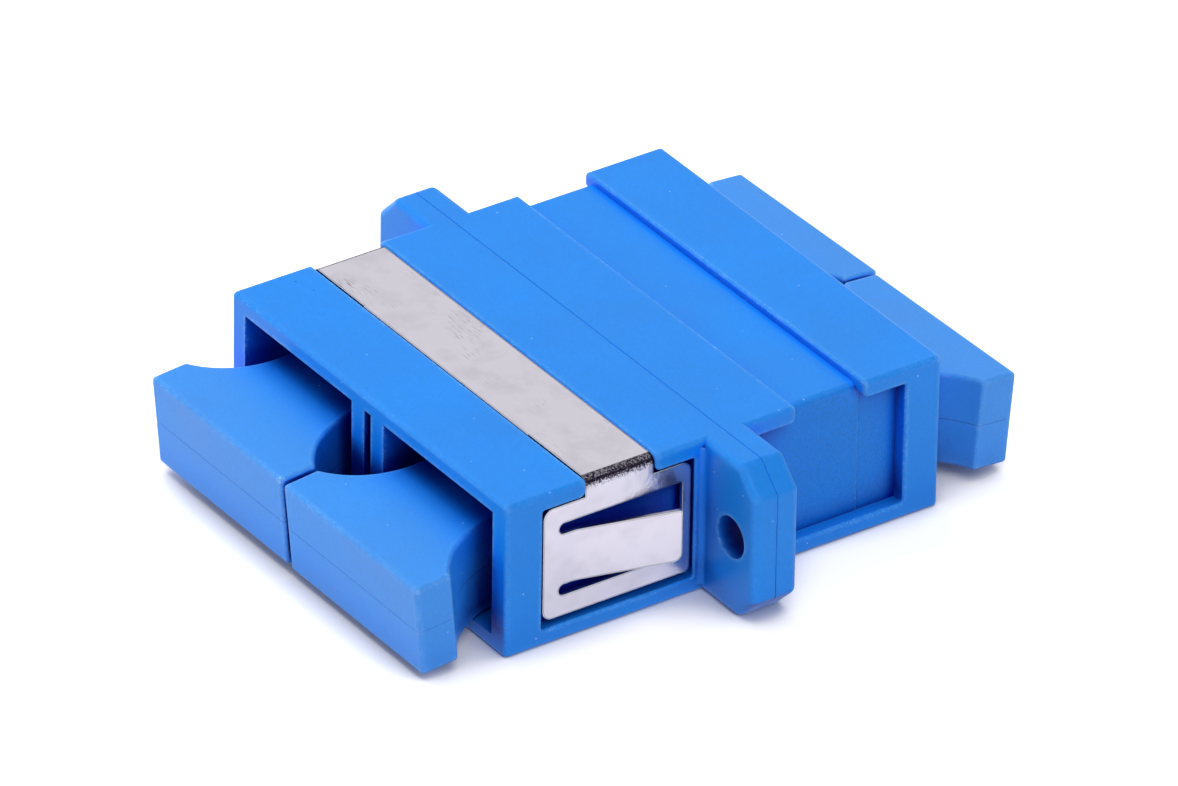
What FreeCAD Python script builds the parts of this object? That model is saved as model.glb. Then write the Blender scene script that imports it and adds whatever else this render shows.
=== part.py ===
"""Duplex SC fibre adapter: a welded two-part housing with a sprung panel clip, four latch
frames, two split alignment sleeves and four dust caps.

Millimetres. +X is across the two ports, +Y runs along the fibres from the front ports to the
rear ones, +Z is up. The origin is on the underside, in the weld plane where the two housing
halves meet, midway between the ports. Each end is first modelled at the front, reaching
towards -Y, and the rear copy is its mirror image or its half turn about +Z.
"""
import FreeCAD, Part
import math
import os

from FreeCAD import Vector

# ---------------------------------------------------------------- driving dimensions
# Split alignment sleeve, on the port's own axis
sleeve_radius = 1.6
sleeve_wall = 0.35
sleeve_slit = 0.5
sleeve_clearance = 0.05
sleeve_end_gap = 0.2            # between the sleeve's end and the holder's lip
sleeve_chamfer = 0.15

# Latch frame: plate, sleeve holder and two hooks
frame_plate = 1.3
frame_clearance = 0.05
frame_corner = 0.4
frame_side_land = 0.45          # how far the plate's edge passes the port's wall
frame_roof_land = 0.25
holder_wall = 0.4
holder_length = 6.5
holder_lip = 0.6
holder_lip_bore = 1.35
holder_lead_in = 0.3
hook_thickness = 0.65
hook_height = 3.4
hook_set_back = 4.95            # from the housing's mouth to the hook's tip
hook_nose = 1.3
hook_barb = 0.55
hook_tip_radius = 0.2
hook_root_radius = 0.35
hook_skirt_room = 0.55          # between the barb and the dust cap's skirt
hook_wall_gap = 0.25            # between the arm and the port's wall, where the arm springs

# Dust cap
cap_stand_out = 5.2             # from the housing's mouth to the grip's outer face
cap_thickness = 5.45
cap_gap = 0.26                  # between the grips of neighbouring caps
cap_side_flat = 2.2
cap_scallop_radius = 5.0
cap_neck_width = 6.86
cap_neck_depth = 2.65           # from the housing's mouth in to the neck's end
cap_frame_gap = 0.9             # between the skirt and the latch frame's plate
cap_skirt_wall = 0.5
cap_skirt_clearance = 0.3
cap_bore_spare = 2.0            # bore beyond the holder's tip
cap_edge_radius = 0.22
cap_parting_groove = 0.035
cap_play_pivot = 1.7            # a loose cap tips about this place inside its skirt's end
# Share of its play, in the holder and the port, that each cap's own weight takes up
cap_play_used = {"front_left": 0.883, "front_right": 0.952, "rear_left": 0.9, "rear_right": 0.86}
# Share of its play by which each cap is swung about the vertical, as it was pushed on
cap_swing_used = {"front_left": 0.0, "front_right": 0.0, "rear_left": 0.21, "rear_right": 0.21}

# Housing, worked out from the ports outwards
half_length = 13.85
side_wall = 1.3
roof_wall = 0.9
port_side_room = 0.5            # extra width of a port on its outer side
port_skirt_room = 0.9           # between the dust cap's skirt and the port's floor or roof
divider_width = 3.0
divider_slot = 0.6
divider_slot_end = 2.0          # solid web left behind the slot, measured from the weld plane
body_edge_radius = 0.27
weld_groove = 0.04
keyway_width = 4.3              # for the connector's key, open at the mouth
keyway_length = 5.8

# Mounting flange, half of it on each housing half
ear_reach = 4.7                 # from the body's side to the ear's outer face
ear_hole_place = 2.6            # from the body's side to the screw hole
flange_half = 1.435
flange_corner = 1.5
flange_edge_radius = 0.45
flange_root_radius = 0.35
screw_hole_radius = 1.2

# Panel clip, one folded steel sheet
sheet = 0.25
clip_sink = 0.03                # band below the housing's top
clip_side_sink = 0.18           # plates below the housing's sides
clip_inner_radius = 0.3
band_clearance = 0.06
band_middle = (-7.9, 7.5)       # stretch of the band that is a little wider towards the mouth
band_middle_step = 0.05
plate_end_gap = 0.15            # plate inside the pocket, at its ends and its top
plate_bottom_gap = 0.42
plate_corner = 0.6
plate_near_corner = 0.3         # of the low corner beside the flange
window_near_bar = 0.52          # bars left round the window
window_root_bar = 1.0
window_low_bar = 1.23
window_high_bar = 1.12
window_corner = 0.15
tongue_slot = 0.665             # above and below the tongue, with a round end at its root
tongue_flat = 0.85              # straight start of the tongue before its bend
tongue_bend_radius = 1.5
tongue_tip_gap = 0.92           # from the tongue's tip to the window's near end
tongue_angle = 14.5
tongue_corner = {"low": 0.5, "high": 0.18}      # radii at the tongue's tip

# Recess for the clip: a channel over the top and a pocket in each side
pocket_near = 1.95              # distance of the pocket's near end from the weld plane
pocket_mouth_wall = 2.3         # from the pocket's far end to the housing's mouth
pocket_floor = 0.95
pocket_spare = {+1: 0.37, -1: 0.07}     # room behind each plate
pocket_corner = 0.15
pocket_edge_break = 0.1         # small chamfer where the pocket's walls meet the housing's side
lip_height = 1.0                # of the lips over the pocket, on each side of the channel
lip_near = 2.5
lip_far = 2.7
lip_corner = 0.35
channel_spare = 0.17            # room under the band
channel_end_radius = 0.35
insert_length = 2.5             # mould insert at the end of the rear pocket on the +X side
insert_depth = 0.05

# ---------------------------------------------------------------- derived places
# Distances along the port count from the weld plane, those across it from the port's axis
sleeve_bore = sleeve_radius - sleeve_wall
sleeve_length = 2 * (holder_length - holder_lip - sleeve_end_gap)
holder_radius = sleeve_radius + sleeve_clearance + holder_wall
skirt_bore = holder_radius + cap_skirt_clearance
skirt_radius = skirt_bore + cap_skirt_wall
skirt_end = frame_plate + cap_frame_gap
hook_inner = skirt_radius + hook_skirt_room + hook_barb
hook_reach = half_length - hook_set_back
port_inner_half = hook_inner + hook_thickness + hook_wall_gap
port_half_height = skirt_radius + port_skirt_room
frame_width = 2 * (port_inner_half + frame_side_land)
frame_height = 2 * (port_half_height + frame_roof_land)

port_inner_x = divider_width / 2
port_x = port_inner_x + port_inner_half
port_outer_x = port_x + port_inner_half + port_side_room
body_width = 2 * (port_outer_x + side_wall)
body_height = 2 * (port_half_height + roof_wall)
port_z = body_height / 2
floor_z = roof_wall
roof_z = body_height - roof_wall
flange_width = body_width + 2 * ear_reach
screw_spacing = body_width + 2 * ear_hole_place

cap_width = 2 * port_x - cap_gap
cap_reach = half_length + cap_stand_out
cap_neck_end = half_length - cap_neck_depth
cap_pivot = skirt_end + cap_play_pivot
cap_play = min(                 # slope at which a tipped cap first touches something
    cap_skirt_clearance / (holder_length - cap_pivot),
    port_skirt_room / (cap_neck_end - cap_pivot),
    (port_half_height - cap_thickness / 2) / (half_length - cap_pivot))

clip_width = body_width - 2 * clip_side_sink
pocket_depth = {side: clip_side_sink + sheet + spare for side, spare in pocket_spare.items()}
pocket_top = body_height - lip_height
pocket_far = half_length - pocket_mouth_wall
channel_near = pocket_near + lip_near
channel_far = pocket_far - lip_far
channel_width = channel_far - channel_near
channel_floor_z = body_height - clip_sink - sheet - channel_spare

spill = 1.0                     # how far a cutting tool stands out of what it cuts


# ---------------------------------------------------------------- helpers
def box(x_range, y_range, z_range):
    """Block between three pairs of coordinates."""
    (x0, x1), (y0, y1), (z0, z1) = sorted(x_range), sorted(y_range), sorted(z_range)
    return Part.makeBox(x1 - x0, y1 - y0, z1 - z0, Vector(x0, y0, z0))


def outline(corners, place):
    """Closed wire through corners (a, b, radius), with a tangent arc at each radius.

    place turns the two plane coordinates into a point in space.
    """
    stops = []
    for index, (a, b, radius) in enumerate(corners):
        here = Vector(a, b, 0)
        back = (Vector(*corners[index - 1][:2], 0) - here).normalize()
        ahead = (Vector(*corners[(index + 1) % len(corners)][:2], 0) - here).normalize()
        if radius == 0:
            stops.append((here, None, here))
            continue
        half_angle = back.getAngle(ahead) / 2
        reach = radius / math.tan(half_angle)
        inward = (back + ahead).normalize()
        middle = here + inward * (radius / math.sin(half_angle) - radius)
        stops.append((here + back * reach, middle, here + ahead * reach))
    edges = []
    for index, (start, middle, end) in enumerate(stops):
        if middle is not None:
            edges.append(Part.Arc(*[place(p.x, p.y) for p in (start, middle, end)]).toShape())
        following = stops[(index + 1) % len(stops)][0]
        if end.distanceToPoint(following) > 1e-6:       # two arcs meet in a full round
            edges.append(Part.makeLine(place(end.x, end.y), place(following.x, following.y)))
    return Part.Wire(edges)


def slab(corners, place, depth):
    """Solid swept from the outline of corners by the vector depth."""
    return Part.Face(outline(corners, place)).extrude(depth)


def rounded_rectangle(a_range, b_range, radius):
    """Corners of a rectangle with one radius, for outline()."""
    (a0, a1), (b0, b1) = sorted(a_range), sorted(b_range)
    return [(a0, b0, radius), (a1, b0, radius), (a1, b1, radius), (a0, b1, radius)]


def in_xz(y):
    return lambda x, z: Vector(x, y, z)


def in_yz(x):
    return lambda y, z: Vector(x, y, z)


def in_xy(z):
    return lambda x, y: Vector(x, y, z)


def rod(radius, near, far):
    """Cylinder on the port's own axis, between two distances from the weld plane."""
    return Part.makeCylinder(radius, far - near, Vector(0, -near, 0), Vector(0, -1, 0))


def edges_where(shape, test):
    """Edges whose bounding box centre and size pass the test."""
    return [edge for edge in shape.Edges if test(edge.BoundBox.Center, edge.BoundBox)]


def mirrored(shape):
    """Mirror image through the weld plane."""
    return shape.mirror(Vector(0, 0, 0), Vector(0, 1, 0))


def at_port(shape, end, side):
    """Carry a piece modelled at the front on its port's own axis to one of the four ports."""
    if end == "rear":
        shape = shape.rotated(Vector(0, 0, 0), Vector(0, 0, 1), 180)
    centre_x = port_x if side == "right" else -port_x
    return shape.translated(Vector(centre_x, 0, port_z))


# ---------------------------------------------------------------- housing
def housing_blank():
    """Outer form of the front half: the rectangular body with half of the flange."""
    body = slab(
        rounded_rectangle((-body_width / 2, body_width / 2), (0, body_height), body_edge_radius),
        in_xz(-half_length), Vector(0, half_length - flange_half / 2, 0))
    mouth_edges = edges_where(body, lambda centre, size: abs(centre.y + half_length) < 1e-4)
    body = body.makeFillet(body_edge_radius, mouth_edges)
    blank = body.fuse([flange()] + [flange_root(side) for side in (-1, 1)])
    return blank.removeSplitter()


def flange():
    """Front half of the flange, with the groove of the weld round its rear edge."""
    ear_x, cut, soft = flange_width / 2, flange_corner, flange_edge_radius
    plate = slab(
        [(-ear_x, cut, soft), (-ear_x + cut, 0, soft), (ear_x - cut, 0, soft), (ear_x, cut, soft),
         (ear_x, body_height - cut, soft), (ear_x - cut, body_height, soft),
         (-ear_x + cut, body_height, soft), (-ear_x, body_height - cut, soft)],
        in_xz(-flange_half), Vector(0, flange_half, 0))
    front_edges = edges_where(plate, lambda centre, size: abs(centre.y + flange_half) < 1e-4)
    plate = plate.makeFillet(flange_edge_radius, front_edges)
    weld_edges = edges_where(plate, lambda centre, size: abs(centre.y) < 1e-4)
    return plate.makeChamfer(weld_groove, weld_edges)


def flange_root(side):
    """Concave fillet where an ear leaves the body's side."""
    x = side * body_width / 2
    reach = side * flange_root_radius
    corner = Vector(x, -flange_half, 0)
    along_ear = Vector(x + reach, -flange_half, 0)
    along_body = Vector(x, -flange_half - flange_root_radius, 0)
    centre = Vector(x + reach, -flange_half - flange_root_radius, 0)
    middle = centre + (corner - centre).normalize() * flange_root_radius
    wire = Part.Wire([Part.makeLine(along_body, corner), Part.makeLine(corner, along_ear),
                      Part.Arc(along_ear, middle, along_body).toShape()])
    height = body_height - 2 * flange_edge_radius
    return Part.Face(wire).extrude(Vector(0, 0, height)).translated(Vector(0, 0, flange_edge_radius))


def clip_recess():
    """Channel over the top, with rounded ends that fall into the side pockets."""
    right = body_width / 2 - pocket_depth[+1]
    left = -body_width / 2 + pocket_depth[-1]
    outside = body_width / 2 + spill
    above = body_height + spill
    below = pocket_top
    channel = slab(
        [(-outside, above, 0), (-outside, below, 0), (left, below, 0),
         (left, channel_floor_z, channel_end_radius), (right, channel_floor_z, channel_end_radius),
         (right, below, 0), (outside, below, 0), (outside, above, 0)],
        in_xz(-channel_far), Vector(0, channel_width, 0))
    return channel.fuse([side_pocket(side) for side in (-1, 1)])


def side_pocket(side):
    """Pocket in one side, open upwards between two rounded lips where the clip passes."""
    floor_x = side * (body_width / 2 - pocket_depth[side])
    depth = side * (pocket_depth[side] + spill)
    return slab(
        [(-pocket_far, pocket_floor, pocket_corner), (-pocket_near, pocket_floor, pocket_corner),
         (-pocket_near, pocket_top, pocket_corner), (-channel_near, pocket_top, lip_corner),
         (-channel_near, channel_floor_z, 0), (-channel_far, channel_floor_z, 0),
         (-channel_far, pocket_top, lip_corner), (-pocket_far, pocket_top, pocket_corner)],
        in_yz(floor_x), Vector(depth, 0, 0))


def pocket_edges(half):
    """Outer edges of both side pockets, between the body's rounded bottom and top edges."""
    return edges_where(half, lambda centre, size: (
        abs(abs(centre.x) - body_width / 2) < 1e-4 and size.XLength < 1e-4
        and pocket_near - 1e-3 < -centre.y < pocket_far + 1e-3
        and pocket_floor - 1e-3 < centre.z < pocket_top + 1e-3))


def port_hollow(side):
    """One port: its rectangular tunnel, the seat of the latch frame and the keyway."""
    tunnel = box((side * port_inner_x, side * port_outer_x), (-half_length - spill, spill),
                 (floor_z, roof_z))
    seat_x = frame_width / 2 + frame_clearance
    seat_z = frame_height / 2 + frame_clearance
    seat = box((side * port_x - seat_x, side * port_x + seat_x),
               (-frame_plate - frame_clearance, spill), (port_z - seat_z, port_z + seat_z))
    keyway = box((side * port_x - keyway_width / 2, side * port_x + keyway_width / 2),
                 (-half_length - spill, -half_length + keyway_length), (-spill, floor_z + spill))
    return tunnel.fuse([seat, keyway])


def housing_half():
    half = housing_blank().cut(clip_recess())
    half = half.makeChamfer(pocket_edge_break, pocket_edges(half))
    for side in (-1, 1):
        half = half.cut(port_hollow(side))
        hole = Part.makeCylinder(screw_hole_radius, flange_half + 2 * spill,
                                 Vector(side * screw_spacing / 2, spill, port_z), Vector(0, -1, 0))
        half = half.cut(hole)
    slot = box((-divider_slot / 2, divider_slot / 2),
               (-half_length - spill, -divider_slot_end), (floor_z, roof_z))
    return half.cut(slot)


def rear_housing_half(front):
    """Mirror image of the front half, with the flat of a mould insert in its +X pocket."""
    floor_x = body_width / 2 - pocket_depth[+1]
    insert = box((floor_x - insert_depth, floor_x + pocket_depth[+1] / 2),
                 (pocket_far - insert_length, pocket_far), (pocket_floor, pocket_top))
    return mirrored(front).cut(insert)


# ---------------------------------------------------------------- panel clip
def clip_tongue(side, bend_y, tip_y, z_range):
    """Spring tongue, bent outwards from the side plate at bend_y and reaching to tip_y."""
    angle = math.radians(tongue_angle)
    outer_bend = tongue_bend_radius
    inner_bend = tongue_bend_radius + sheet
    run = (tip_y - bend_y - inner_bend * math.sin(angle)) / math.cos(angle)
    low_z, high_z = z_range

    def point(radius, turn, along):
        """Place on the section: a radius and turn about the bend's centre, then a straight run."""
        centre_x = clip_width / 2 + tongue_bend_radius
        x = centre_x - radius * math.cos(turn) + along * math.sin(turn)
        y = bend_y + radius * math.sin(turn) + along * math.cos(turn)
        return Vector(side * x, y, low_z)

    outer_start, outer_end = point(outer_bend, 0, 0), point(outer_bend, angle, 0)
    inner_start, inner_end = point(inner_bend, 0, 0), point(inner_bend, angle, 0)
    outer_tip, inner_tip = point(outer_bend, angle, run), point(inner_bend, angle, run)
    wire = Part.Wire([
        Part.makeLine(inner_start, outer_start),
        Part.Arc(outer_start, point(outer_bend, angle / 2, 0), outer_end).toShape(),
        Part.makeLine(outer_end, outer_tip),
        Part.makeLine(outer_tip, inner_tip),
        Part.makeLine(inner_tip, inner_end),
        Part.Arc(inner_end, point(inner_bend, angle / 2, 0), inner_start).toShape()])
    tongue = Part.Face(wire).extrude(Vector(0, 0, high_z - low_z))
    for level, z in (("low", low_z), ("high", high_z)):
        tip_edge = edges_where(tongue, lambda centre, size: (
            size.ZLength < 1e-4 and size.YLength < sheet and centre.y > outer_tip.y - sheet
            and abs(centre.z - z) < 1e-4))
        tongue = tongue.makeFillet(tongue_corner[level], tip_edge)
    return tongue


def clip_plate(side):
    """Side plate of the clip: a frame round a window, with the spring tongue in it."""
    outer_x = side * clip_width / 2
    near_y, far_y = -pocket_near - plate_end_gap, -pocket_far + plate_end_gap
    low_z, high_z = pocket_floor + plate_bottom_gap, pocket_top - plate_end_gap
    plate = slab(
        [(far_y, low_z, plate_corner), (near_y, low_z, plate_near_corner),
         (near_y, high_z, plate_corner), (far_y, high_z, plate_corner)],
        in_yz(outer_x), Vector(-side * sheet, 0, 0))

    root_y, window_y = far_y + window_root_bar, near_y - window_near_bar
    window_low, window_high = low_z + window_low_bar, high_z - window_high_bar
    tongue_low, tongue_high = window_low + tongue_slot, window_high - tongue_slot
    bend_y = root_y + tongue_flat
    slot_end = tongue_slot / 2
    window = slab(
        [(root_y, window_low, slot_end), (window_y, window_low, window_corner),
         (window_y, window_high, window_corner), (root_y, window_high, slot_end),
         (root_y, tongue_high, slot_end), (bend_y, tongue_high, 0), (bend_y, tongue_low, 0),
         (root_y, tongue_low, slot_end)],
        in_yz(outer_x + side * spill), Vector(-side * (sheet + 2 * spill), 0, 0))
    tongue = clip_tongue(side, bend_y, window_y - tongue_tip_gap, (tongue_low, tongue_high))
    return plate.cut(window).fuse(tongue)


def panel_clip():
    """Sheet folded over the housing's top and down both sides."""
    top_z = body_height - clip_sink
    outer_x = clip_width / 2
    inner_x = outer_x - sheet
    shoulder_z = pocket_top - plate_end_gap - plate_corner
    outer_radius = clip_inner_radius + sheet
    band_far = -channel_far + band_clearance
    band = slab(
        [(-outer_x, shoulder_z, 0), (-outer_x, top_z, outer_radius), (outer_x, top_z, outer_radius),
         (outer_x, shoulder_z, 0), (inner_x, shoulder_z, 0), (inner_x, top_z - sheet, clip_inner_radius),
         (-inner_x, top_z - sheet, clip_inner_radius), (-inner_x, shoulder_z, 0)],
        in_xz(band_far), Vector(0, channel_width - 2 * band_clearance, 0))
    wide_middle = box(band_middle, (band_far - band_middle_step, band_far + sheet), (top_z - sheet, top_z))
    return band.fuse([wide_middle, clip_plate(-1), clip_plate(+1)]).removeSplitter()


# ---------------------------------------------------------------- inner pieces
def latch_hook(side):
    """Arm beside the port with a barb that holds the connector."""
    inner = side * hook_inner
    outer = side * (hook_inner + hook_thickness)
    barb = side * (hook_inner - hook_barb)
    base = frame_plate - frame_clearance
    shoulder = hook_reach - hook_nose
    ramp_start = hook_reach - hook_nose / 3
    hook = slab(
        [(inner, -base, 0), (inner, -shoulder, 0), (barb, -shoulder, 0), (barb, -ramp_start, 0),
         (inner, -hook_reach, 0), (outer, -hook_reach, hook_tip_radius), (outer, -base, 0)],
        in_xy(-hook_height / 2), Vector(0, 0, hook_height))
    root = slab(
        [(inner, -frame_plate, 0), (inner - side * hook_root_radius, -frame_plate, 0),
         (inner, -frame_plate - hook_root_radius, 0)],
        in_xy(-hook_height / 2), Vector(0, 0, hook_height))
    return hook.fuse(root)


def latch_frame():
    """Latch frame on its port's own axis, at the front."""
    plate = slab(
        rounded_rectangle((-frame_width / 2, frame_width / 2), (-frame_height / 2, frame_height / 2),
                          frame_corner),
        in_xz(-frame_plate), Vector(0, frame_plate, 0))
    frame = plate.fuse([rod(holder_radius, 0, holder_length), latch_hook(-1), latch_hook(+1)])
    sleeve_room = rod(sleeve_radius + sleeve_clearance, -spill, holder_length - holder_lip)
    lip_bore = rod(holder_lip_bore, 0, holder_length + spill)
    lead_in = Part.makeCone(holder_lip_bore, holder_lip_bore + holder_lead_in, holder_lead_in,
                            Vector(0, -holder_length + holder_lead_in, 0), Vector(0, -1, 0))
    return frame.cut(sleeve_room).cut(lip_bore).cut(lead_in).removeSplitter()


def alignment_sleeve():
    """Split ceramic sleeve that lines up the two ferrules."""
    sleeve = rod(sleeve_radius, -sleeve_length / 2, sleeve_length / 2)
    sleeve = sleeve.makeChamfer(sleeve_chamfer, edges_where(
        sleeve, lambda centre, size: abs(size.XLength - 2 * sleeve_radius) < 1e-3))
    bore = rod(sleeve_bore, -sleeve_length, sleeve_length)
    slit = box((-sleeve_slit / 2, sleeve_slit / 2), (-sleeve_length, sleeve_length),
               (0, 2 * sleeve_radius))
    return sleeve.cut(bore).cut(slit)


# ---------------------------------------------------------------- dust caps
def grip_outline():
    """Grip seen in plan: flat sides, then a concave curve on each side down to the neck."""
    half_grip = cap_width / 2
    half_neck = cap_neck_width / 2
    arc_x = half_neck + cap_scallop_radius
    flat_y = -cap_reach + cap_side_flat
    arc_y = flat_y + math.sqrt(cap_scallop_radius ** 2 - (arc_x - half_grip) ** 2)
    turn = math.asin((arc_y - flat_y) / cap_scallop_radius) / 2

    def edge_points(side):
        middle = (side * (arc_x - cap_scallop_radius * math.cos(turn)),
                  arc_y - cap_scallop_radius * math.sin(turn))
        places = [(side * half_grip, -cap_reach), (side * half_grip, flat_y), middle,
                  (side * half_neck, arc_y), (side * half_neck, -cap_neck_end)]
        return [Vector(x, y, 0) for x, y in places]

    right, left = edge_points(+1), edge_points(-1)
    return Part.Wire([
        Part.makeLine(left[0], right[0]),
        Part.makeLine(right[0], right[1]),
        Part.Arc(right[1], right[2], right[3]).toShape(),
        Part.makeLine(right[3], right[4]),
        Part.makeLine(right[4], left[4]),
        Part.makeLine(left[4], left[3]),
        Part.Arc(left[3], left[2], left[1]).toShape(),
        Part.makeLine(left[1], left[0])])


def cap_grip():
    """Grip in two mirrored halves, with the mould's parting groove where they meet."""
    upper = Part.Face(grip_outline()).extrude(Vector(0, 0, cap_thickness / 2))
    outside_neck = -cap_neck_end - cap_edge_radius
    rounded = edges_where(upper, lambda centre, size: centre.z > 1e-4 and centre.y < outside_neck)
    upper = upper.makeFillet(cap_edge_radius, rounded)
    parting = edges_where(upper, lambda centre, size: abs(centre.z) < 1e-4 and centre.y < outside_neck)
    upper = upper.makeChamfer(cap_parting_groove, parting)
    return upper.fuse(upper.mirror(Vector(0, 0, 0), Vector(0, 0, 1))).removeSplitter()


def dust_cap(play_used, swing_used):
    """Cap on its port's own axis, at the front, tipped and swung by the play on the sleeve holder."""
    skirt = rod(skirt_radius, skirt_end, cap_neck_end + cap_edge_radius)
    cap = cap_grip().fuse(skirt)
    cap = cap.cut(rod(skirt_bore, skirt_end - spill, holder_length + cap_bore_spare))
    pivot = Vector(0, -cap_pivot, 0)
    droop = math.degrees(math.atan(play_used * cap_play))
    swing = math.degrees(math.atan(swing_used * cap_play))
    return cap.rotated(pivot, Vector(1, 0, 0), droop).rotated(pivot, Vector(0, 0, 1), swing)


# ---------------------------------------------------------------- the assembly
def build():
    nodes = {}
    front = housing_half()
    nodes["front_housing_half"] = front
    nodes["rear_housing_half"] = rear_housing_half(front)
    nodes["panel_clip"] = panel_clip()
    frame = latch_frame()
    sleeve = alignment_sleeve()
    for side in ("left", "right"):
        nodes[f"alignment_sleeve_{side}"] = at_port(sleeve, "front", side)
        for end in ("front", "rear"):
            place = f"{end}_{side}"
            cap = dust_cap(cap_play_used[place], cap_swing_used[place])
            nodes[f"latch_frame_{place}"] = at_port(frame, end, side)
            nodes[f"dust_cap_{place}"] = at_port(cap, end, side)
    return nodes


os.makedirs("parts", exist_ok=True)
for name, shape in build().items():
    if shape.ShapeType == "Compound" and len(shape.Solids) == 1:
        shape = shape.Solids[0]
    shape.exportStep(f"parts/{name}.step")
    print(f"{name}: {len(shape.Solids)} solid, {shape.Volume:.2f} mm3, valid {shape.isValid()}")
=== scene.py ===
"""Looks of a duplex fibre adapter: moulded blue halves, a folded steel clip and four dust caps.

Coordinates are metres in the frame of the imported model. +X is across the two ports, +Y runs along
the fibres and +Z is up. Sizes below are written in millimetres and turned to metres by MM.
"""

import math

import bpy
from mathutils import Matrix, Vector


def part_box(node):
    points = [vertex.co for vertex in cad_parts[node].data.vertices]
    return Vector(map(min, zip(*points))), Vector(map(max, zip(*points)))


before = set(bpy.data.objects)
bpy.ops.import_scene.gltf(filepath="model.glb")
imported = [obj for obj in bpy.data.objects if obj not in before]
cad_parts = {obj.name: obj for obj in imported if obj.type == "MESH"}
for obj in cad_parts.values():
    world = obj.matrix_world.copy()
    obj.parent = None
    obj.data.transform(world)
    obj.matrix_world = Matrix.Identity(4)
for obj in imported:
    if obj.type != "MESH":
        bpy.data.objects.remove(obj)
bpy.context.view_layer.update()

MM = 0.001

# ---------------------------------------------------------------- view and light
CAMERA_AZIMUTH = 55.09          # degrees, 0 looks along +Y and 90 along -X
CAMERA_ELEVATION = 31.53
CAMERA_ROLL = 0.91
CAMERA_DISTANCE = 753.0         # mm from the point it looks at
CAMERA_TARGET = (-0.31, 0.49, 4.65)
CAMERA_CLIP = (10.0, 10000.0)
LENS = 433.9
SENSOR = 36.0

FLOOR_SIZE = 1400.0
FLOOR_GLOW = 0.55               # extra white of the card where the camera sees it
FLOOR_SHEEN = 0.28              # and where it is mirrored in the plastic and the steel
CONTACT_REACH = 4.5             # mm from the object within which the card loses that white, a painted contact shadow
WORLD_LEVEL = 0.04              # of the studio's white as light on the object
WORLD_SHEEN = 0.76              # added to it where it is mirrored in the steel and the plastic
SOFTBOX_DISTANCE = 450.0
SOFTBOX_WIDTH = 330.0
# Softboxes round the table: azimuth and elevation in degrees, power in watts
SOFTBOXES = {
    "left_wall": (270, 8, 2.45),
    "front_left": (315, 8, 0.5),
    "front": (355, 12, 0.5),
    "left_overhead": (270, 55, 0.84),
    "back": (200, 25, 0.3),
    "right_overhead": (80, 58, 0.84),
    "right_wall": (90, 26, 0.54),
}

# ---------------------------------------------------------------- colours
# Mouldings: their pigment; a darker tint for the pockets' floors, which is painted shade; a more
# saturated blue, painted bounce light in corners; a dark blue, painted shade in hollows, on the
# pockets' floors and in creases; and a pale edge colour, painted highlight with rubbed wear
HOUSING_BLUES = ("#1a89ec", "#0a7ee0", "#007dff", "#000880", "#7ebcfc")
CAP_BLUES = ("#3691ec", "#3691ec", "#007dff", "#000880", "#98cbfc")
INNER_BLUES = ("#0648b4", "#0648b4", "#0030a0", "#000448", "#3f83dc")
PALE_SPECK = "#86bdf8"
DARK_SPECK = "#0a3a86"
ZIRCONIA = ("#efe9dd", "#f6f2ea")
STEEL = "#e6e2ee"
STEEL_SMUDGE = "#d6d2de"
STEEL_SCRATCH = "#a8a2ae"
# Painted light on the steel: a shadow just inside its punched edges, a highlight at them, and a
# dark reflection on its folds
STEEL_EDGE_SHADOW = "#3f4460"
STEEL_EDGE_GLINT = "#ffffff"
STEEL_FOLD_REFLECTION = "#241d31"
CARD = "#e9e8ec"

# ---------------------------------------------------------------- sizes, in mm
MOULD_GRAIN = 0.14              # sparked texture of the mould; the real grit, 0.03, would not show
FLOW_PATCH = 6.0                # slow drift of tint over a moulding
EDGE_SOFT = 0.09                # rounding of a moulded edge that is too small for the model
HOLLOW_REACH = 4.0              # how far a wall's painted shade reaches over what lies beside it
CARD_LIGHT = 6.0                # height up to which the painted bounce blue in corners fades in, as the white card lights corners below it
FOOT = (0.2, 1.6)               # heights between which the painted hollow shade fades in, as the card's light on a hollow's foot fades out
SEAM = 0.14                     # reach of the painted shade in a groove, along a joint or in a narrow crease
RIM = 0.4                       # width of the pale band along an outer edge: a painted highlight, with rubbed dashes
FLECK = 0.05                    # radius of a speck of moulding dust
FLECK_SPACING = 1.2
RUB = 0.3                       # length of the pale dashes along rubbed edges
CHIP = 0.11                     # and of the white nicks among them
GRAIN_DEPTH = 0.02
BODY_WIDTH = 26.0               # of the housing without its ears
POCKET_LEVEL = 0.6              # mid depth of the floors of its side pockets
SMUDGE = 1.6                    # cloudy marks on the rolled steel
SCRATCH_LENGTH = 0.9
SCRATCH_WIDTH = 0.05
SCRATCH_SPREAD = 2.5            # of a group of scratches
CRAZE = 0.09                    # of the steel's skin where it is folded
SHEET_WAVE = 0.45               # unevenness of the punched sheet
SHEET_DEPTH = 0.03
SHEET_SOFT = 0.08               # rounding of its punched edges
OUTLINE = 0.12                  # reach of the painted shadow line inside them
CLIP_SINK = 0.18                # of the clip's plates below the housing's sides
FOLD_RADIUS = 0.55              # outside, of its folds over the housing's top edges

# ---------------------------------------------------------------- where a finish, a painted light or a painted shade starts and is full
# How open a place is, from 0 deep in a hollow to 1 on an open face. It sets the painted bounce
# blue in corners, the painted shade in hollows, on the pockets' floors and in creases, and the
# painted contact shadow on the card
IN_CORNER = (0.9, 0.58)
IN_HOLLOW = (0.56, 0.36)
IN_POCKET = (0.85, 0.45)        # painted shade on the pockets' floors, which darkens sooner
IN_JOINT = (0.8, 0.3)
HANDLED = (0.3, 0.7)            # open enough to be rubbed
CLEAR_CARD = (0.42, 0.74)       # from the painted contact shadow to the white card
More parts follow.
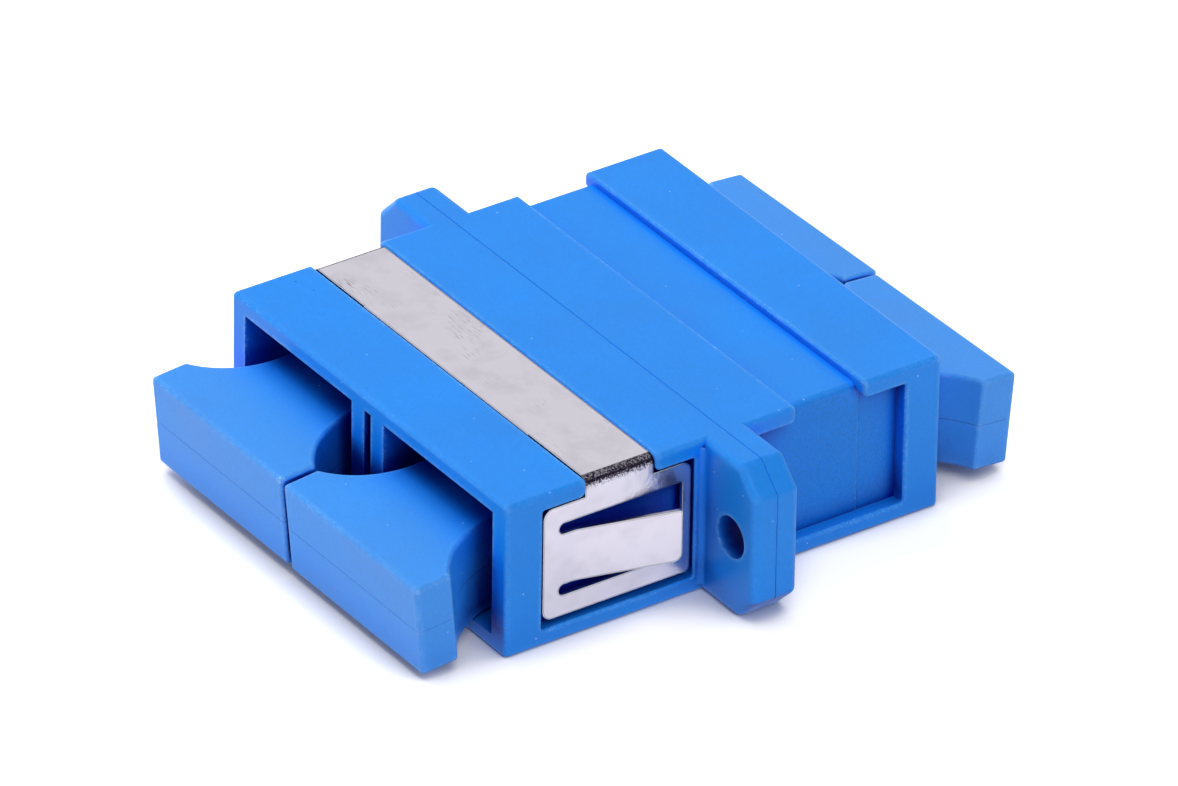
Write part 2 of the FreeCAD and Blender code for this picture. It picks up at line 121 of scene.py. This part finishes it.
# The same, measured inside the wall, which is 1 under a flat face and less along an edge
AT_EDGE = (0.9, 0.55)
# For the steel: where its painted edge shadow and painted edge highlight lie
AT_PUNCHED_EDGE = (0.95, 0.7)
AT_EDGE_GLINT = (0.66, 0.58)
# How high a noise is, from 0 to 1
NOISE = (0.3, 0.7)              # most of it lies here
DASH = (0.4, 0.7)
NICK = (0.64, 0.68)
NICKED_PATCH = (0.48, 0.54)
DARKER_CREASE_SHADE = (0.4, 0.56)
SMUDGED = (0.45, 0.8)
SCRATCHED = (0.62, 0.7)
SCRATCHED_PATCH = (0.56, 0.64)
PITTED = (0.44, 0.62)
STEEL_CLOUD = (0.3, 0.75)
# How far round a fold of the steel, from 0 on top to 2 at its foot
FOLD_START = (0.1, 0.25)
FOLD_SOLID = (1.0, 1.25)        # from here down the painted dark reflection is solid, without pits
FOLD_END = (0.75, 1.35)         # less RAGGEDNESS times the craze
RAGGEDNESS = 1.6

# ---------------------------------------------------------------- how much of it there is
DRIFT_TINT = (0.95, 1.04)       # of the pigment's brightness
GRAIN_CONTRAST = 0.05           # of the mould's light and dark points
SPARK_CONTRAST = 0.07           # and how much more of it there is on the pockets' floors
DRIFT_ROUGHNESS = (-0.04, 0.05)
DASH_PALENESS = (0.15, 0.6)     # between the dashes, a painted highlight, and on them, with rubbed wear
CREASE_SHADE_DARKNESS = (0.05, 0.5)    # of the painted shade in a groove or crease, in its lighter and darker stretches
PALE_SPECKS = 0.5               # share of the places that have one
DARK_SPECKS = 0.12
EDGE_SHADOW_DARKNESS = 0.75
PIT_DARKNESS = (1.0, 0.6)       # of the painted dark reflection on a fold, between the pits and in them
STEEL_ROUGHNESS = (0.17, 0.24)


def linear(hex_colour):
    """sRGB hex colour as the linear RGBA that nodes take."""
    channels = [int(hex_colour[i:i + 2], 16) / 255 for i in (1, 3, 5)]
    return [c / 12.92 if c <= 0.04045 else ((c + 0.055) / 1.055) ** 2.4 for c in channels] + [1.0]


def direction(azimuth, elevation):
    """Unit vector from the object towards a place at that azimuth and elevation, in degrees."""
    a, e = math.radians(azimuth), math.radians(elevation)
    return Vector((math.sin(a) * math.cos(e), -math.cos(a) * math.cos(e), math.sin(e)))


# ---------------------------------------------------------------- materials
def add(tree, kind, inputs=None, **settings):
    """Adds a node. inputs maps a socket's name or number to a value, an output or a node.

    Of a node, its first output in use is linked.
    """
    node = tree.nodes.new("ShaderNode" + kind)
    for name, value in settings.items():
        setattr(node, name, value)
    for name, value in (inputs or {}).items():
        if isinstance(value, bpy.types.Node):
            value = next(output for output in value.outputs if output.enabled)
        if isinstance(value, bpy.types.NodeSocket):
            tree.links.new(value, node.inputs[name])
        else:
            node.inputs[name].default_value = value
    return node


def new_material(name, constants):
    """Material with a shader, whose sockets take the constants, and an output."""
    material = bpy.data.materials.new(name)
    material.use_nodes = True
    tree = material.node_tree
    tree.nodes.clear()
    shader = add(tree, "BsdfPrincipled", constants)
    add(tree, "OutputMaterial", {"Surface": shader})
    return material, tree, shader


def set_nodes(material, names):
    for name in names:
        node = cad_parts[name]
        node.data.materials.clear()
        node.data.materials.append(material)


def moulded_plastic(name, blues, roughness, gloss):
    """Injection-moulded blue plastic, such as PBT.

    The mould leaves a satin skin with a fine spark-eroded grain, and the pigment drifts a little
    with the flow. Corners are painted a more saturated blue as bounce light, and hollows, the
    pockets' floors and narrow creases carry a painted dark-blue shade. Edges are soft and carry a
    painted pale highlight, paler still in short dashes and a few nicks where handling wears them.
    A few specks of dust lie on the skin.
    """
    plain, pocket_shade_tint, painted_bounce_blue, painted_shade_blue, rub_and_highlight_blue = [linear(blue) for blue in blues]
    material, tree, shader = new_material(name, {
        "IOR": 1.5, "Specular IOR Level": gloss, "Subsurface Weight": 0.12,
        "Subsurface Radius": (0.15, 0.45, 1.0), "Subsurface Scale": 0.8 * MM})
    place = add(tree, "TexCoord").outputs["Object"]
    drift = add(tree, "TexNoise", {"Vector": place, "Scale": 1 / (FLOW_PATCH * MM), "Detail": 3.0})
    grain = add(tree, "TexNoise", {"Vector": place, "Scale": 1 / (MOULD_GRAIN * MM), "Detail": 2.0})

    # Floors of the housing's side pockets: a coarser grain, and a darker tint that is painted shade
    body_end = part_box("rear_housing_half")[1][1]
    spot = add(tree, "SeparateXYZ", {"Vector": place})
    facing = add(tree, "SeparateXYZ", {"Vector": add(tree, "NewGeometry").outputs["True Normal"]})
    sideways = add(tree, "Math", {0: facing.outputs["X"]}, operation="ABSOLUTE")
    out = add(tree, "Math", {0: spot.outputs["X"]}, operation="ABSOLUTE")
    sunk = add(tree, "Math", {0: out, 1: (BODY_WIDTH / 2 - POCKET_LEVEL) * MM,
                              2: POCKET_LEVEL / 2 * MM}, operation="COMPARE")
    along = add(tree, "Math", {0: spot.outputs["Y"]}, operation="ABSOLUTE")
    on_body = add(tree, "Math", {0: along, 1: body_end}, operation="LESS_THAN")
    sunk_side = add(tree, "Math", {0: sideways, 1: sunk}, operation="MULTIPLY")
    tray = add(tree, "Math", {0: sunk_side, 1: on_body}, operation="MULTIPLY")
    skin = add(tree, "Mix", {"Factor": tray, "A": plain, "B": pocket_shade_tint}, data_type="RGBA")

    # Pigment: slow drift, then grain
    shade = add(tree, "MapRange", {"Value": drift, "From Min": NOISE[0], "From Max": NOISE[1],
                                   "To Min": DRIFT_TINT[0], "To Max": DRIFT_TINT[1]})
    paler = add(tree, "Math", {0: tray, 1: SPARK_CONTRAST, 2: 1 + GRAIN_CONTRAST},
                operation="MULTIPLY_ADD")
    darker = add(tree, "Math", {0: tray, 1: -SPARK_CONTRAST, 2: 1 - GRAIN_CONTRAST},
                 operation="MULTIPLY_ADD")
    salt = add(tree, "MapRange", {"Value": grain, "From Min": NOISE[0], "From Max": NOISE[1],
                                  "To Min": darker, "To Max": paler})
    level = add(tree, "Math", {0: shade, 1: salt}, operation="MULTIPLY")
    pigment = add(tree, "Mix", {"Factor": 1.0, "A": skin, "B": level}, data_type="RGBA",
                  blend_type="MULTIPLY")

    # Painted light and shade: a more saturated blue in corners as bounce light, and dark-blue shade
    # in hollows and on the pockets' floors
    hollow = add(tree, "AmbientOcclusion", {"Distance": HOLLOW_REACH * MM}, samples=8)
    openness = hollow.outputs["AO"]
    off_card = add(tree, "MapRange", {"Value": spot.outputs["Z"], "From Max": CARD_LIGHT * MM})
    corner = add(tree, "MapRange", {"Value": openness, "From Min": IN_CORNER[0],
                                    "From Max": IN_CORNER[1]})
    painted_corner_light = add(tree, "Math", {0: corner, 1: off_card}, operation="MULTIPLY")
    off_foot = add(tree, "MapRange", {"Value": spot.outputs["Z"], "From Min": FOOT[0] * MM,
                                      "From Max": FOOT[1] * MM})
    # Painted shade in a hollow, faded out near the card
    painted_hollow_shade = add(tree, "MapRange", {"Value": openness, "From Min": IN_HOLLOW[0],
                                   "From Max": IN_HOLLOW[1], "To Max": off_foot})
    # Painted shade on the pockets' floors
    painted_pocket_shade = add(tree, "MapRange", {"Value": openness, "From Min": IN_POCKET[0],
                                     "From Max": IN_POCKET[1], "To Max": tray})
    painted_shade_amount = add(tree, "Math", {0: painted_hollow_shade, 1: painted_pocket_shade}, operation="MAXIMUM")
    corner_lit = add(tree, "Mix", {"Factor": painted_corner_light, "A": pigment, "B": painted_bounce_blue}, data_type="RGBA")
    toned = add(tree, "Mix", {"Factor": painted_shade_amount, "A": corner_lit, "B": painted_shade_blue}, data_type="RGBA")

    # Outer edges, found from inside the wall, but not along the weld: a painted pale highlight all
    # along them, paler in rubbed dashes and a few nicks
    soft = add(tree, "Bevel", {"Radius": EDGE_SOFT * MM}, samples=6)
    wall = add(tree, "AmbientOcclusion", {"Distance": RIM * MM}, samples=8, inside=True,
               only_local=True)
    edge = add(tree, "MapRange", {"Value": wall.outputs["AO"], "From Min": AT_EDGE[0],
                                  "From Max": AT_EDGE[1]})
    dash = add(tree, "TexNoise", {"Vector": place, "Scale": 1 / (RUB * MM), "Detail": 2.0})
    rub = add(tree, "MapRange", {"Value": dash, "From Min": DASH[0], "From Max": DASH[1],
                                 "To Min": DASH_PALENESS[0], "To Max": DASH_PALENESS[1]})
    off_weld = add(tree, "MapRange", {"Value": along, "From Min": 0.5 * RIM * MM,
                                      "From Max": 1.5 * RIM * MM})
    handled = add(tree, "MapRange", {"Value": openness, "From Min": HANDLED[0],
                                     "From Max": HANDLED[1], "To Max": off_weld})
    bare_edge = add(tree, "Math", {0: edge, 1: handled}, operation="MULTIPLY")
    dashes = add(tree, "Math", {0: bare_edge, 1: rub}, operation="MULTIPLY")
    chip = add(tree, "TexNoise", {"Vector": place, "Scale": 1 / (CHIP * MM), "Detail": 0.0})
    nick = add(tree, "MapRange", {"Value": chip, "From Min": NICK[0], "From Max": NICK[1]})
    patch = add(tree, "MapRange", {"Value": drift, "From Min": NICKED_PATCH[0],
                                   "From Max": NICKED_PATCH[1]})
    nicks = add(tree, "Math", {0: nick, 1: patch}, operation="MULTIPLY")
    both = add(tree, "Math", {0: nicks, 1: bare_edge, 2: dashes}, operation="MULTIPLY_ADD",
               use_clamp=True)
    worn_and_highlit = add(tree, "Mix", {"Factor": both, "A": toned, "B": rub_and_highlight_blue}, data_type="RGBA")

    # Painted shade in grooves, joints and narrow creases, darker in some stretches than in others
    groove = add(tree, "AmbientOcclusion", {"Distance": SEAM * MM}, samples=6)
    crease_shade_strength = add(tree, "MapRange", {"Value": drift, "From Min": DARKER_CREASE_SHADE[0],
                                 "From Max": DARKER_CREASE_SHADE[1], "To Min": CREASE_SHADE_DARKNESS[0],
                                 "To Max": CREASE_SHADE_DARKNESS[1]})
    painted_crease_shade = add(tree, "MapRange", {"Value": groove.outputs["AO"], "From Min": IN_JOINT[0],
                                  "From Max": IN_JOINT[1], "To Max": crease_shade_strength})
    crease_shaded = add(tree, "Mix", {"Factor": painted_crease_shade, "A": worn_and_highlit, "B": painted_shade_blue}, data_type="RGBA")

    # Specks
    cells = add(tree, "TexVoronoi", {"Vector": place, "Scale": 1 / (FLECK_SPACING * MM)})
    near = add(tree, "Math", {0: cells.outputs["Distance"], 1: FLECK / FLECK_SPACING},
               operation="LESS_THAN")
    chance = add(tree, "SeparateColor", {"Color": cells.outputs["Color"]})
    pale = add(tree, "Math", {0: chance.outputs["Red"], 1: 1 - PALE_SPECKS},
               operation="GREATER_THAN")
    dark = add(tree, "Math", {0: chance.outputs["Red"], 1: DARK_SPECKS}, operation="LESS_THAN")
    pale_speck = add(tree, "Math", {0: near, 1: pale}, operation="MULTIPLY")
    dark_speck = add(tree, "Math", {0: near, 1: dark}, operation="MULTIPLY")
    dusty = add(tree, "Mix", {"Factor": pale_speck, "A": crease_shaded, "B": linear(PALE_SPECK)},
                data_type="RGBA")
    spotted = add(tree, "Mix", {"Factor": dark_speck, "A": dusty, "B": linear(DARK_SPECK)},
                  data_type="RGBA")
    tree.links.new(spotted.outputs["Result"], shader.inputs["Base Color"])

    bump = add(tree, "Bump", {"Height": grain, "Strength": 0.12, "Distance": GRAIN_DEPTH * MM,
                              "Normal": soft})
    tree.links.new(bump.outputs["Normal"], shader.inputs["Normal"])
    cloud = add(tree, "MapRange", {"Value": drift, "From Min": NOISE[0], "From Max": NOISE[1],
                                   "To Min": roughness + DRIFT_ROUGHNESS[0],
                                   "To Max": roughness + DRIFT_ROUGHNESS[1]})
    tree.links.new(cloud.outputs["Result"], shader.inputs["Roughness"])
    return material


def ground_ceramic():
    """Zirconia, ground and polished: milky white with a hard gloss."""
    material, tree, shader = new_material("ground_zirconia", {
        "Roughness": 0.15, "IOR": 2.1, "Subsurface Weight": 0.3,
        "Subsurface Radius": (1.0, 0.9, 0.8), "Subsurface Scale": 0.3 * MM})
    place = add(tree, "TexCoord").outputs["Object"]
    cloud = add(tree, "TexNoise", {"Vector": place, "Scale": 1 / (FLOW_PATCH * MM), "Detail": 2.0})
    tint = add(tree, "Mix", {"Factor": cloud, "A": linear(ZIRCONIA[0]), "B": linear(ZIRCONIA[1])},
               data_type="RGBA")
    tree.links.new(tint.outputs["Result"], shader.inputs["Base Color"])
    return material


def rolled_steel():
    """Stainless spring strip, cold rolled, punched and folded.

    A bright grey, slightly uneven, with cloudy handling marks and short scratches. Where the strip
    is folded over the housing its skin is crazed and carries a painted dark reflection, and its
    punched edges carry a thin painted shadow inside them and a painted white highlight at the edge.
    """
    material, tree, shader = new_material("rolled_spring_steel", {"Metallic": 1.0})
    place = add(tree, "TexCoord").outputs["Object"]
    cloud = add(tree, "TexNoise", {"Vector": place, "Scale": 1 / (SMUDGE * MM), "Detail": 4.0})
    mark = add(tree, "MapRange", {"Value": cloud, "From Min": SMUDGED[0], "From Max": SMUDGED[1]})
    tint = add(tree, "Mix", {"Factor": mark, "A": linear(STEEL), "B": linear(STEEL_SMUDGE)},
               data_type="RGBA")

    # Scratches, drawn only on top and in some patches
    aslant = add(tree, "Mapping", {"Vector": place, "Rotation": (0.0, 0.0, math.radians(35)),
                                   "Scale": (1 / SCRATCH_LENGTH, 1 / SCRATCH_WIDTH,
                                             1 / SCRATCH_LENGTH)})
    stroke = add(tree, "TexNoise", {"Vector": aslant, "Scale": 1 / MM, "Detail": 1.0})
    thin = add(tree, "MapRange", {"Value": stroke, "From Min": SCRATCHED[0],
                                  "From Max": SCRATCHED[1]})
    group = add(tree, "TexNoise", {"Vector": place, "Scale": 1 / (SCRATCH_SPREAD * MM),
                                   "Detail": 1.0})
    where = add(tree, "MapRange", {"Value": group, "From Min": SCRATCHED_PATCH[0],
                                   "From Max": SCRATCHED_PATCH[1]})
    facing = add(tree, "SeparateXYZ", {"Vector": add(tree, "NewGeometry").outputs["Normal"]})
    on_top = add(tree, "Math", {0: where, 1: facing.outputs["Z"]}, operation="MULTIPLY",
                 use_clamp=True)
    scratch = add(tree, "Math", {0: thin, 1: on_top}, operation="MULTIPLY")
    scored = add(tree, "Mix", {"Factor": scratch, "A": tint, "B": linear(STEEL_SCRATCH)},
                 data_type="RGBA")

    # Punched edges: a painted shadow line just inside them, and a painted white highlight at the
    # very edge
    wall = add(tree, "AmbientOcclusion", {"Distance": OUTLINE * MM}, samples=8, inside=True,
               only_local=True)
    painted_edge_shadow = add(tree, "MapRange", {"Value": wall.outputs["AO"], "From Min": AT_PUNCHED_EDGE[0],
                                    "From Max": AT_PUNCHED_EDGE[1], "To Max": EDGE_SHADOW_DARKNESS})
    edge_shadowed = add(tree, "Mix", {"Factor": painted_edge_shadow, "A": scored, "B": linear(STEEL_EDGE_SHADOW)},
                   data_type="RGBA")
    # Painted white highlight at the very edge of the punched steel
    painted_edge_glint = add(tree, "MapRange", {"Value": wall.outputs["AO"], "From Min": AT_EDGE_GLINT[0],
                                 "From Max": AT_EDGE_GLINT[1]})
    edge_glinted = add(tree, "Mix", {"Factor": painted_edge_glint, "A": edge_shadowed, "B": linear(STEEL_EDGE_GLINT)},
                  data_type="RGBA")

    # Folds over the top edges, with a painted dark reflection pitted by a craze that also bumps
    # them. turn runs from 0 to 2 round a fold, and on down the plate
    axis = add(tree, "SeparateXYZ", {"Vector": place})
    side = add(tree, "Math", {0: axis.outputs["X"]}, operation="ABSOLUTE")
    over = add(tree, "MapRange", {"Value": side,
                                  "From Min": (BODY_WIDTH / 2 - CLIP_SINK - FOLD_RADIUS) * MM,
                                  "From Max": (BODY_WIDTH / 2 - CLIP_SINK) * MM})
    clip_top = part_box("panel_clip")[1][2]
    down = add(tree, "MapRange", {"Value": axis.outputs["Z"], "From Min": clip_top,
                                  "From Max": clip_top - FOLD_RADIUS * MM}, clamp=False)
    turn = add(tree, "Math", {0: over, 1: down}, operation="ADD")
    craze = add(tree, "TexNoise", {"Vector": place, "Scale": 1 / (CRAZE * MM), "Detail": 2.0})
    pits = add(tree, "MapRange", {"Value": craze, "From Min": PITTED[0], "From Max": PITTED[1],
                                  "To Min": PIT_DARKNESS[0], "To Max": PIT_DARKNESS[1]})
    start = add(tree, "MapRange", {"Value": turn, "From Min": FOLD_START[0],
                                   "From Max": FOLD_START[1], "To Max": pits})
    solid = add(tree, "MapRange", {"Value": turn, "From Min": FOLD_SOLID[0],
                                   "From Max": FOLD_SOLID[1], "To Min": start, "To Max": 1.0})
    ragged = add(tree, "Math", {0: craze, 1: -RAGGEDNESS, 2: turn}, operation="MULTIPLY_ADD")
    fold_reflection_and_craze = add(tree, "MapRange", {"Value": ragged, "From Min": FOLD_END[0],
                                       "From Max": FOLD_END[1], "To Min": solid, "To Max": 0.0})
    surface = add(tree, "Mix", {"Factor": fold_reflection_and_craze, "A": edge_glinted, "B": linear(STEEL_FOLD_REFLECTION)},
                  data_type="RGBA")
    tree.links.new(surface.outputs["Result"], shader.inputs["Base Color"])

    gloss = add(tree, "MapRange", {"Value": cloud, "From Min": STEEL_CLOUD[0],
                                   "From Max": STEEL_CLOUD[1], "To Min": STEEL_ROUGHNESS[0],
                                   "To Max": STEEL_ROUGHNESS[1]})
    tree.links.new(gloss.outputs["Result"], shader.inputs["Roughness"])
    soft = add(tree, "Bevel", {"Radius": SHEET_SOFT * MM}, samples=6)
    wave = add(tree, "TexNoise", {"Vector": place, "Scale": 1 / (SHEET_WAVE * MM), "Detail": 2.0})
    ripple = add(tree, "Math", {0: fold_reflection_and_craze, 1: wave}, operation="ADD")
    bump = add(tree, "Bump", {"Height": ripple, "Strength": 0.4, "Distance": SHEET_DEPTH * MM,
                              "Normal": soft})
    tree.links.new(bump.outputs["Normal"], shader.inputs["Normal"])
    return material


# ---------------------------------------------------------------- stage
def make_stage():
    """White card under the object, whiter where the camera or a mirror sees it. Near the object the
    extra white for the camera fades out, as a painted contact shadow.
    """
    bpy.ops.mesh.primitive_plane_add(size=FLOOR_SIZE * MM)
    floor = bpy.context.object
    floor.name = "floor"
    material, tree, shader = new_material("white_card", {"Base Color": linear(CARD),
                                                         "Roughness": 0.9})
    path = add(tree, "LightPath")
    # The extra white for the camera fades out near the object, leaving a painted contact shadow
    # over the card's own shade from the lamps
    contact = add(tree, "AmbientOcclusion", {"Distance": CONTACT_REACH * MM}, samples=12)
    white = add(tree, "MapRange", {"Value": contact.outputs["AO"], "From Min": CLEAR_CARD[0],
                                   "From Max": CLEAR_CARD[1], "To Max": FLOOR_GLOW})
    for_camera = add(tree, "Math", {0: path.outputs["Is Camera Ray"], 1: white},
                     operation="MULTIPLY")
    level = add(tree, "Math", {0: path.outputs["Is Glossy Ray"], 1: FLOOR_SHEEN, 2: for_camera},
                operation="MULTIPLY_ADD")
    glow = add(tree, "Emission", {"Color": (1, 1, 1, 1), "Strength": level})
    both = add(tree, "AddShader", {0: shader, 1: glow})
    tree.links.new(both.outputs["Shader"], tree.nodes["Material Output"].inputs["Surface"])
    floor.data.materials.append(material)


def make_world():
    """Studio that is white to the camera, pale where it is mirrored and dim as a light."""
    world = bpy.data.worlds.new("studio")
    bpy.context.scene.world = world
    world.use_nodes = True
    tree = world.node_tree
    tree.nodes.clear()
    path = add(tree, "LightPath")
    level = add(tree, "Math", {0: path.outputs["Is Glossy Ray"], 1: WORLD_SHEEN, 2: WORLD_LEVEL},
                operation="MULTIPLY_ADD")
    soft = add(tree, "Background", {"Color": (1, 1, 1, 1), "Strength": level})
    white = add(tree, "Background", {"Color": (1, 1, 1, 1), "Strength": 1.0})
    seen = add(tree, "MixShader", {0: path.outputs["Is Camera Ray"], 1: soft, 2: white})
    add(tree, "OutputWorld", {"Surface": seen})


def make_softbox(name, azimuth, elevation, power):
    lamp = bpy.data.lights.new(name, "AREA")
    lamp.shape = "DISK"
    lamp.size = SOFTBOX_WIDTH * MM
    lamp.energy = power
    holder = bpy.data.objects.new(name, lamp)
    bpy.context.scene.collection.objects.link(holder)
    holder.visible_glossy = False       # the steel mirrors the white studio, not the lamps
    away = direction(azimuth, elevation)
    holder.location = away * SOFTBOX_DISTANCE * MM
    holder.rotation_mode = "QUATERNION"
    holder.rotation_quaternion = away.to_track_quat("Z", "Y")


def make_camera():
    camera = bpy.data.cameras.new("camera")
    camera.lens = LENS
    camera.sensor_width = SENSOR
    camera.clip_start = CAMERA_CLIP[0] * MM
    camera.clip_end = CAMERA_CLIP[1] * MM
    holder = bpy.data.objects.new("camera", camera)
    bpy.context.scene.collection.objects.link(holder)
    back = direction(CAMERA_AZIMUTH, CAMERA_ELEVATION)
    azimuth = math.radians(CAMERA_AZIMUTH)
    right = Vector((math.cos(azimuth), math.sin(azimuth), 0))
    upright = Matrix([right, back.cross(right), back]).transposed()
    turned = upright @ Matrix.Rotation(math.radians(CAMERA_ROLL), 3, "Z")
    place = Vector(CAMERA_TARGET) + back * CAMERA_DISTANCE
    holder.matrix_world = Matrix.Translation(place * MM) @ turned.to_4x4()
    bpy.context.scene.camera = holder


# ---------------------------------------------------------------- make it
housing = moulded_plastic("moulded_housing_plastic", HOUSING_BLUES, roughness=0.36, gloss=0.3)
cap = moulded_plastic("moulded_cap_plastic", CAP_BLUES, roughness=0.45, gloss=0.52)
inner = moulded_plastic("moulded_inner_plastic", INNER_BLUES, roughness=0.5, gloss=0.3)
ceramic = ground_ceramic()
steel = rolled_steel()

names = sorted(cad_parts)
set_nodes(housing, [n for n in names if "housing" in n])
set_nodes(cap, [n for n in names if n.startswith("dust_cap")])
set_nodes(inner, [n for n in names if n.startswith("latch_frame")])
set_nodes(ceramic, [n for n in names if n.startswith("alignment_sleeve")])
set_nodes(steel, ["panel_clip"])

make_stage()
make_world()
for name, (azimuth, elevation, power) in SOFTBOXES.items():
    make_softbox(name, azimuth, elevation, power)
make_camera()

bpy.context.scene.view_settings.view_transform = "Standard"
